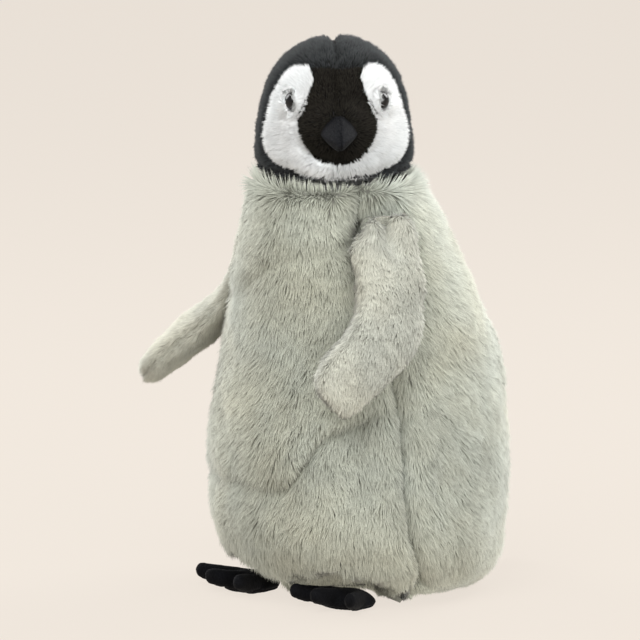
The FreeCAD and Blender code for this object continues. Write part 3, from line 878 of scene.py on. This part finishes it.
def read_head(tree, ways, edges):
    """The head's skin along rays from inside, smoothed over where the beak and the eyes are stuck on."""
    stuck_on, _ = search_tree(["beak_left", "beak_right", "eye_left", "eye_right"])
    reach = np.zeros(len(ways))
    known = np.ones(len(ways), bool)
    for i, way in enumerate(ways):
        start = Vector(HEAD_CENTRE + way * OUTSIDE)
        spot, _, _, far = tree.ray_cast(start, Vector(-way))
        other_far = stuck_on.ray_cast(start, Vector(-way))[3]
        reach[i] = OUTSIDE - far if spot else 0
        known[i] = bool(spot) and not (other_far is not None and other_far < far + STUCK_ON)
    reach[~known] = np.median(reach[known])
    count = np.bincount(edges.ravel(), minlength=len(ways))
    for _ in range(400):
        total = np.bincount(edges[:, 0], reach[edges[:, 1]], len(ways))
        total += np.bincount(edges[:, 1], reach[edges[:, 0]], len(ways))
        reach = np.where(known, reach, total / count)
    return HEAD_CENTRE + ways * reach[:, None]


def make_head():
    """The head's sewn panels, drawn up over the eyes' domes."""
    tree, owners = search_tree(HEAD_NODES)
    ways, faces = cube_ball(HEAD_CELLS)
    edges = np.concatenate([faces[:, pair] for pair in ([0, 1], [1, 2], [2, 3], [3, 0])])
    points = read_head(tree, ways, edges)
    middles = points[faces].mean(axis=1)
    face_owner = np.array([owners[tree.find_nearest(Vector(m))[2]] for m in middles])
    for side, (centre, _, _) in zip(SIDES, eye_balls()):
        around = np.linalg.norm(middles - centre, axis=1) < WHITE_ROUND_EYE
        face_owner[around] = HEAD_NODES.index(f"cheek_{side}")
    distance = border_distance(points, faces, face_owner)
    centre_seam = np.abs(np.cross(points - HEAD_CENTRE, FACING)[:, 2])
    (deep, wide), (roll, beside, spread), (centre_deep, centre_wide) = HEAD_SEAM, SEAM_ROLL, CENTRE_SEAM
    height = points[:, 2] - HEAD_LOW
    sink = deep * bump(distance, wide) - roll * bump(distance - beside, spread)
    sink += centre_deep * bump(centre_seam, centre_wide) * smooth(height, 0.04, 0.05)
    sink -= 0.0005 * lattice_noise(points, 0.02, 31)
    sink -= CROWN_RISE * smooth(height, 0.045, 0.075)
    moved = eye_lids(points - vertex_normals(points, faces) * (sink + HEAD_SINK)[:, None])
    moved[:, 2] = np.maximum(moved[:, 2], HEAD_LOW + OFF_FLOOR)
    normal = vertex_normals(moved, faces)
    cloths = {}
    for index, name in enumerate(HEAD_NODES):
        cloth = panel(moved, faces[face_owner == index], normal, np.minimum(distance, centre_seam))
        material = WHITE_CLOTH if name.startswith("cheek") else BLACK_CLOTH
        hidden = ["head_stuffing"] if name == "crown_left" else []
        cloths[name] = sewn(name, cloth, HEAD_SHEET, "head", material, hidden)
    return cloths


def head_nap(points):
    """The pile runs away from the beak, over the face and back over the crown, and out from each eye."""
    way = unit(points - BEAK + FACING * 0.012)
    way[:, 2] -= 0.15
    for opening in eye_openings():
        apart = points - opening
        near = near_eye(apart)[:, None]
        way = way * (1 - near) + unit(apart) * near
    return way


def near_eye(apart):
    """1 close to an eye, falling to 0."""
    return 1 - smooth(np.linalg.norm(apart, axis=1), *ROUND_EYE)


def cheek_length(points):
    """Shorter at the jaw, where the black band shows under the white, but long on the chin."""
    chin = smooth(to_the_front(points), 0.80, 0.98)
    low = 1 - smooth(points[:, 2], HEAD_LOW + 0.006, HEAD_LOW + 0.024)
    length = 1 - 0.45 * low + 0.65 * low * chin
    for opening in eye_openings():
        length *= 1 - 0.40 * near_eye(points - opening)
    return length


def ball_centre(points):
    """The centre of the ball that the points lie on."""
    table = np.column_stack([2 * points, np.ones(len(points))])
    return np.linalg.lstsq(table, np.sum(points**2, axis=1), rcond=None)[0][:3]


def eye_balls():
    """Centre, radius and outward direction of each eye's dome."""
    balls = []
    for side in SIDES:
        points, _, _ = cad_triangles([f"eye_{side}"])
        far = np.linalg.norm(points - HEAD_CENTRE, axis=1)
        outermost = points[np.argmax(far)]
        dome = points[np.linalg.norm(points - outermost, axis=1) < 0.0045]
        centre = ball_centre(dome)
        radius = np.linalg.norm(dome - centre, axis=1).mean()
        balls.append((centre, radius, unit(dome.mean(axis=0) - centre)))
    return balls


def eye_openings():
    """The middle of each eye's opening, on its dome."""
    middles = []
    for centre, radius, look in eye_balls():
        middles.append(centre + look * radius - np.cross(look, sideways_of(look)) * EYE_LOWERED)
    return middles


def eye_view(points, centre, look):
    """How far points are ahead of an eye's centre, how far to its side, and how far out of its opening."""
    sideways = sideways_of(look)
    local = points - centre
    across, along = local @ sideways, local @ np.cross(look, sideways)
    out = np.hypot(across / EYE_OPENING[0], (along + EYE_LOWERED) / EYE_OPENING[1])
    return local @ look, np.hypot(across, along), out


def eye_lids(points):
    """Draws the cheeks' cloth up over each eye's dome, all but an upright opening."""
    for centre, radius, look in eye_balls():
        ahead, aside, out = eye_view(points, centre, look)
        reach = radius + EYE_SKIN
        round_lid = np.sqrt(np.maximum(reach**2 - aside**2, 0))
        lid = np.where(aside < reach / math.sqrt(2), round_lid, math.sqrt(2) * reach - aside)
        covered = (ahead > -2 * radius) & (aside < reach + LID_SPREAD) & (out > 1)
        points = points + look * np.where(covered, np.maximum(lid - ahead, 0), 0)[:, None]
    return points


def round_eyes(roots, tips):
    """Drops the tufts that would grow or hang in an eye's opening."""
    allowed = np.ones(len(tips), bool)
    for centre, radius, look in eye_balls():
        for spots, edge in zip((roots, tips, (roots + tips) / 2), KEPT_CLEAR):
            ahead, _, out = eye_view(spots, centre, look)
            allowed &= ~((ahead > -radius) & (out < edge))
    return tips, allowed


# ---- limbs ------------------------------------------------------------------------------------

COVER_RADIUS, COVER_RISE, COVER_SINK = 0.0060, 0.001, 0.003
TUCK_AT, TUCK_DEPTH, TUCK_WIDTH, TUCK_LENGTH = 0.002, 0.0065, 0.0034, 0.022
TOP_LENGTH, TOP_RISE, TOP_WIDENING, TOP_ARCH = 0.026, 0.016, 0.45, 0.022
TOP_BACKWARDS = 0.005
BLADE_AT, BLADE_WIDENING, TIP_ROUNDING = 0.72, 0.22, 0.25
# How far a flipper leans forwards and hangs lower, and how much thinner its top is.
FLIPPER_SET = {"left": (0.006, 0.0, 0.0), "right": (0.0, 0.015, 0.60)}
TOP_INWARDS = 0.003
FOOT_FULLNESS = (1.12, 1.06, 1.40)
KITE, BEAK_TAPER, BEAK_POINT, BEAK_FALL = 1.3, 0.35, 0.002, 0.002
WING_PUFF = 0.002
# Mesh step, how far the cloth lies off the filling, the groove's depth and width, and the cloth's thickness.
WING_FORM = (0.0020, 0.0010, 0.0022, 0.0028, 0.002)
FOOT_FORM = (0.0011, 0.0010, 0.0006, 0.0010, 0.001)
TAIL_FORM = (0.0014, 0.0012, 0.0010, 0.0020, 0.0012)
BEAK_FORM = (0.0008, 0.0013, 0.0009, 0.0009, 0.001)


def inflated(node, voxel, growth, puffing):
    """A padded form grown from the filling inside it."""
    points, triangles, _ = cad_triangles([node])
    obj = merged(new_object(node + "_form", points, triangles))
    remesh = obj.modifiers.new("even", "REMESH")
    remesh.mode = "VOXEL"
    remesh.voxel_size = voxel
    applied(obj)
    relax(obj, 3)
    set_points(obj, mesh_points(obj) + mesh_normals(obj) * growth)
    relax(obj, 2)
    if puffing:
        puff(obj, puffing)
    return obj


def make_limb(part, names, form_sizes, body, material, puffing=0, inside=(), sculpt=None):
    """Sews panels round a part's filling, which the cloths then stand for together with what is inside."""
    voxel, growth, depth, width, sheet = form_sizes
    filling = part + "_stuffing"
    form = inflated(filling, voxel, growth, puffing)
    tree, owners = search_tree(names)
    faces = np.array([p.vertices[:] for p in form.data.polygons if len(p.vertices) == 4])
    points = mesh_points(form)
    middles = points[faces].mean(axis=1)
    owner = np.array([owners[tree.find_nearest(Vector(m))[2]] for m in middles])
    distance = border_distance(points, faces, owner)
    normal = vertex_normals(points, faces)
    sink = depth * bump(distance, width) - 0.0005 * lattice_noise(points, 0.012, 41)
    points = points - normal * sink[:, None]
    if sculpt:
        points = sculpt(points, normal)
    normal = vertex_normals(points, faces)
    bpy.data.objects.remove(form)
    cloths = {}
    for index, name in enumerate(names):
        cloth = panel(points, faces[owner == index], normal, distance)
        hidden = [filling, *inside] if index == 0 else []
        cloths[name] = sewn(name, cloth, sheet, body, material, hidden)
    return cloths


def towards(target):
    """Pile that lies towards one point."""

    def nap(points):
        return unit(np.asarray(target) - points)

    return nap


def wing_nap(side):
    """A flipper's pile lies towards a point beyond its tip."""
    points, _, _ = cad_triangles([f"wing_{side}_stuffing"])
    tip, top = (points[np.argsort(heights)[:12]].mean(axis=0) for heights in (points[:, 2], -points[:, 2]))
    return towards(tip + (tip - top) * 0.6)


def shoulder_axes(side):
    """The middle of a flipper's seam, then the ways out of the body, backwards and up."""
    seat = np.array(joints[f"wing_{side}_swing"]["pos_m"])
    out = unit(np.array(joints[f"wing_{side}_swing"]["axis"]))
    out = out if out[0] * seat[0] > 0 else -out
    across = sideways_of(out)
    return seat, out, across, np.cross(out, across)


def tuck(side, points, normals):
    """The pleat in the top of a flipper, where its cloth is gathered into the seam."""
    seat, out, across, up = shoulder_axes(side)
    backwards = across * np.sign(across[1])
    local = points - seat
    off = local @ backwards - TUCK_AT + 0.12 * (local @ up)
    top = smooth(local @ up, -TUCK_LENGTH, -0.006)
    depth = TUCK_DEPTH * bump(off, TUCK_WIDTH) * top * (normals @ out > -0.2)
    return points - normals * depth[:, None]


def flipper_shape(side):
    """The sewn flipper's outline: full and wide over the shoulder, rounded at the tip."""
    seat, out, across, up = shoulder_axes(side)
    backwards = across * np.sign(across[1])
    lean, drop, thin = FLIPPER_SET[side]

    def sculpt(points, normals):
        points = tuck(side, points, normals)
        local = points - seat
        down = -(local @ up)
        top = 1 - smooth(down, 0, TOP_LENGTH)
        aside = local @ backwards
        wide = aside * (1 - smooth(down, 0.2 * TOP_LENGTH, 2.2 * TOP_LENGTH))
        shift = np.where(wide > 0, TOP_WIDENING, 0.15) * wide
        off_middle = aside - np.polyval(np.polyfit(down, aside, 3), down)
        fullness = BLADE_WIDENING * bump(down - BLADE_AT * down.max(), 0.25 * down.max())
        shift += off_middle * (fullness - TIP_ROUNDING * smooth(down, 0.85 * down.max(), down.max()))
        shift -= lean * smooth(down, 0.018, 0.090)
        middle = aside[down < 0.01].mean() + TOP_BACKWARDS
        arch = 1 - smooth(np.abs(aside - middle), 0.2 * TOP_ARCH, TOP_ARCH)
        rise = TOP_RISE * top * arch - drop * smooth(down, 0.0, 0.065)
        inner = (local @ out).min()
        flat = -thin * ((local @ out) - inner + TOP_INWARDS) * (1 - smooth(down, 0.025, 0.07))
        return points + backwards * shift[:, None] + np.outer(rise, [0, 0, 1]) + out * flat[:, None]

    return sculpt


def plump_foot(points, normals):
    """Feet stand fuller and a little wider than their filling."""
    middle = points.mean(axis=0) * np.array([1, 1, 0])
    return middle + (points - middle) * np.array(FOOT_FULLNESS)


def pinched_beak(points, normals):
    """A cone with a kite-like section, drawn to a drooping point."""
    root = BEAK - FACING * 0.010
    ahead = (points - root) @ FACING
    reach = np.clip(ahead / ahead.max(), 0, 1)
    sideways = sideways_of(FACING)
    across, up = (points - root) @ sideways, points[:, 2] - np.median(points[:, 2])
    turn = np.arctan2(up, across)
    kite = (np.abs(np.cos(turn)) ** KITE + np.abs(np.sin(turn)) ** KITE) ** (-1 / KITE)
    slim = kite * (1 - BEAK_TAPER * reach**2) - 1
    points = points + sideways * (across * slim)[:, None] + FACING * (BEAK_POINT * reach**4)[:, None]
    points[:, 2] += up * slim - BEAK_FALL * reach**2
    return points


def shoulder_cover(side):
    """A furry dome over the gathered seam bundle that the flipper hangs from."""
    seat, out, across, up = shoulder_axes(side)
    radii = np.linspace(0, COVER_RADIUS, 9)
    angles = np.linspace(0, 2 * math.pi, 36, endpoint=False)
    rise = COVER_RISE * np.cos(radii / COVER_RADIUS * math.pi / 2) ** 0.7 - COVER_SINK
    circle = np.cos(angles)[:, None] * across + np.sin(angles)[:, None] * up
    points = np.concatenate([seat + circle * r + out * h for r, h in zip(radii, rise)])
    faces = grid_faces(len(radii), len(angles), closed=True)[:, [0, 3, 2, 1]]
    dome = merged(new_object(f"wing_{side}_seam_cover", points, faces), outward=True)
    hidden = [f"wing_{side}_seam_plug"]
    finish_cloth(thickened(dome, COVER_SHEET), hidden, f"shoulder_{side}", GREY_CLOTH)
    normals = np.tile(out, (len(points), 1))
    return {"points": points, "faces": faces, "normals": normals, "seam": np.ones(len(points))}


# ---- putting it together ------------------------------------------------------------------------

BODY_PILE = Pile(GREY, "grey_plush", 1.50, 0.0098, 0.00085, 25, 1.0)
COVER_PILE = Pile(GREY, "grey_plush", 2.0, 0.0060, 0.00085, 25, 0.0)
WING_PILE = Pile(PALE, "flipper_plush", 2.7, 0.0064, 0.00080, 27, 0.7)
TAIL_PILE = Pile(GREY, "grey_plush", 1.6, 0.0075, 0.00090, 24, 0.3)
HEAD_PILE = {
    "crown": Pile(CROWN, "black_plush", 2.0, 0.0064, 0.00090, 26, 0.5),
    "cheek": Pile(WHITE, "white_plush", 3.2, 0.0060, 0.00080, 42, 0.15),
    "face_mask": Pile(MASK, "mask_plush", 3.0, 0.0050, 0.00080, 38, 0.5),
    "head_base": Pile(CROWN, "black_plush", 1.2, 0.0045, 0.00100, 20, 0.0),
}
BODY_SEED, HEAD_SEED, WING_SEED, COVER_SEED, TAIL_SEED = 100, 200, 400, 500, 600
SEED_STEP = 10


def cover(cloths, body, pile, nap, seed, **ways):
    """Grows the same pile on several cloths."""
    for number, (name, cloth) in enumerate(cloths.items()):
        grow_pile(name + "_pile", cloth, body, pile, nap, seed + number * SEED_STEP, **ways)


# The body's pile gets painted shade in its folds and under the head, and painted light near the floor.
cover(make_body(), "body", BODY_PILE, body_nap, BODY_SEED, shape=body_length, tint=painted_body_shading,
      reach=above_floor, lifted=collar_lift)

for number, (name, cloth) in enumerate(make_head().items()):
    part = name if name == "head_base" else name.rsplit("_", 1)[0]
    length = cheek_length if part == "cheek" else None
    reach = round_eyes if part in ("cheek", "face_mask") else None
    cover({name: cloth}, "head", HEAD_PILE[part], head_nap, HEAD_SEED + number * SEED_STEP, shape=length,
          reach=reach)

for number, side in enumerate(SIDES):
    wing, foot = f"wing_{side}", f"foot_{side}"
    cloths = make_limb(wing, [wing + "_outer", wing + "_inner"], WING_FORM, wing, PALE_CLOTH,
                       WING_PUFF, [wing + "_seam_roll"], flipper_shape(side))
    cover(cloths, wing, WING_PILE, wing_nap(side), WING_SEED + number * 4 * SEED_STEP)
    dome = {wing + "_seam_cover": shoulder_cover(side)}
    cover(dome, f"shoulder_{side}", COVER_PILE, body_nap, COVER_SEED + number * SEED_STEP)
    make_limb(foot, [foot + "_upper", foot + "_sole"], FOOT_FORM, foot, FOOT_CLOTH,
              sculpt=plump_foot)

tail = make_limb("tail", ["tail_upper", "tail_lower"], TAIL_FORM, "tail", GREY_CLOTH)
cover(tail, "tail", TAIL_PILE, towards((0, 0.6, -0.1)), TAIL_SEED)

make_limb("beak", ["beak_left", "beak_right"], BEAK_FORM, "head", BEAK_CLOTH,
          sculpt=pinched_beak)

# The other solids keep their CAD shapes.
SOLID_LOOKS = {"eye_left": EYE, "eye_right": EYE, "pellet_bag": FILLING, "weight_pellets": FILLING}
for name, node in nodes.items():
    if not node.hide_render:
        node.data.materials.clear()
        node.data.materials.append(SOLID_LOOKS.get(name, MOULDED))


# ---- studio -----------------------------------------------------------------------------------


def away(azimuth, elevation):
    """The way from the toy to something at that azimuth and elevation."""
    a, e = math.radians(azimuth), math.radians(elevation)
    return Vector((math.sin(a) * math.cos(e), -math.cos(a) * math.cos(e), math.sin(e)))


def blend(tree, kind, first, second, output):
    """Feeds two shaders through a blending node into the output."""
    both = tree.nodes.new(kind)
    tree.links.new(first.outputs[0], both.inputs[-2])
    tree.links.new(second.outputs[0], both.inputs[-1])
    tree.links.new(both.outputs[0], tree.nodes[output].inputs["Surface"])
    return both


def shining(tree, kind, color, strength):
    """A node that gives off one colour."""
    made = tree.nodes.new(kind)
    made.inputs["Color"].default_value = (*color, 1)
    made.inputs["Strength"].default_value = strength
    return made


def stage():
    """A wide round floor, pale enough to be the backdrop too."""
    turns = np.linspace(0, 2 * math.pi, 64, endpoint=False)
    points = [(FLOOR_REACH * math.cos(turn), FLOOR_REACH * math.sin(turn), 0) for turn in turns]
    obj = new_object("studio_floor", points, [tuple(range(64))])
    obj.data.shade_smooth()
    paint = Paint("studio_paper")
    paper = paint.finish(Base_Color=(*FLOOR_SHADE, 1), Roughness=1.0, Specular_IOR_Level=0.0)
    glow = shining(paint.tree, "ShaderNodeEmission", BACKDROP, FLOOR_GLOW)
    blend(paint.tree, "ShaderNodeAddShader", glow, paint.shader, "Material Output")
    obj.data.materials.append(paper)


def placed(name, data, at, way):
    """A lamp or a camera at a spot, with its back to a way."""
    obj = bpy.data.objects.new(name, data)
    bpy.context.scene.collection.objects.link(obj)
    obj.location = at
    obj.rotation_euler = way.to_track_quat("Z", "Y").to_euler()
    return obj


def lights():
    for name, (azimuth, elevation, distance, size, power) in LIGHTS.items():
        lamp = bpy.data.lights.new(name, "AREA")
        lamp.shape = "DISK"
        lamp.size = size
        lamp.energy = power
        way = away(CAMERA_AZIMUTH + azimuth, elevation)
        placed(name, lamp, LIT_SPOT + way * distance, way)


def surroundings():
    """Soft light from all round, in which the camera sees the backdrop's colour."""
    world = bpy.data.worlds.new("studio_world")
    bpy.context.scene.world = world
    world.use_nodes = True
    tree = world.node_tree
    lit = tree.nodes["Background"]
    lit.inputs["Color"].default_value = (*WORLD_TINT, 1)
    lit.inputs["Strength"].default_value = WORLD_LIGHT
    seen = shining(tree, "ShaderNodeBackground", BACKDROP, 1.0)
    both = blend(tree, "ShaderNodeMixShader", lit, seen, "World Output")
    tree.links.new(tree.nodes.new("ShaderNodeLightPath").outputs["Is Camera Ray"], both.inputs[0])


def camera():
    lens = bpy.data.cameras.new("camera")
    lens.sensor_width = SENSOR
    lens.lens = SENSOR * CAMERA_DISTANCE / FIELD_HEIGHT
    out = away(CAMERA_AZIMUTH, CAMERA_ELEVATION)
    right = away(CAMERA_AZIMUTH + 90, 0)
    target = right * PICTURE_CENTRE[0] + out.cross(right) * PICTURE_CENTRE[1]
    bpy.context.scene.camera = placed("camera", lens, target + out * CAMERA_DISTANCE, out)
    bpy.context.scene.view_settings.view_transform = "Standard"


stage()
lights()
surroundings()
camera()
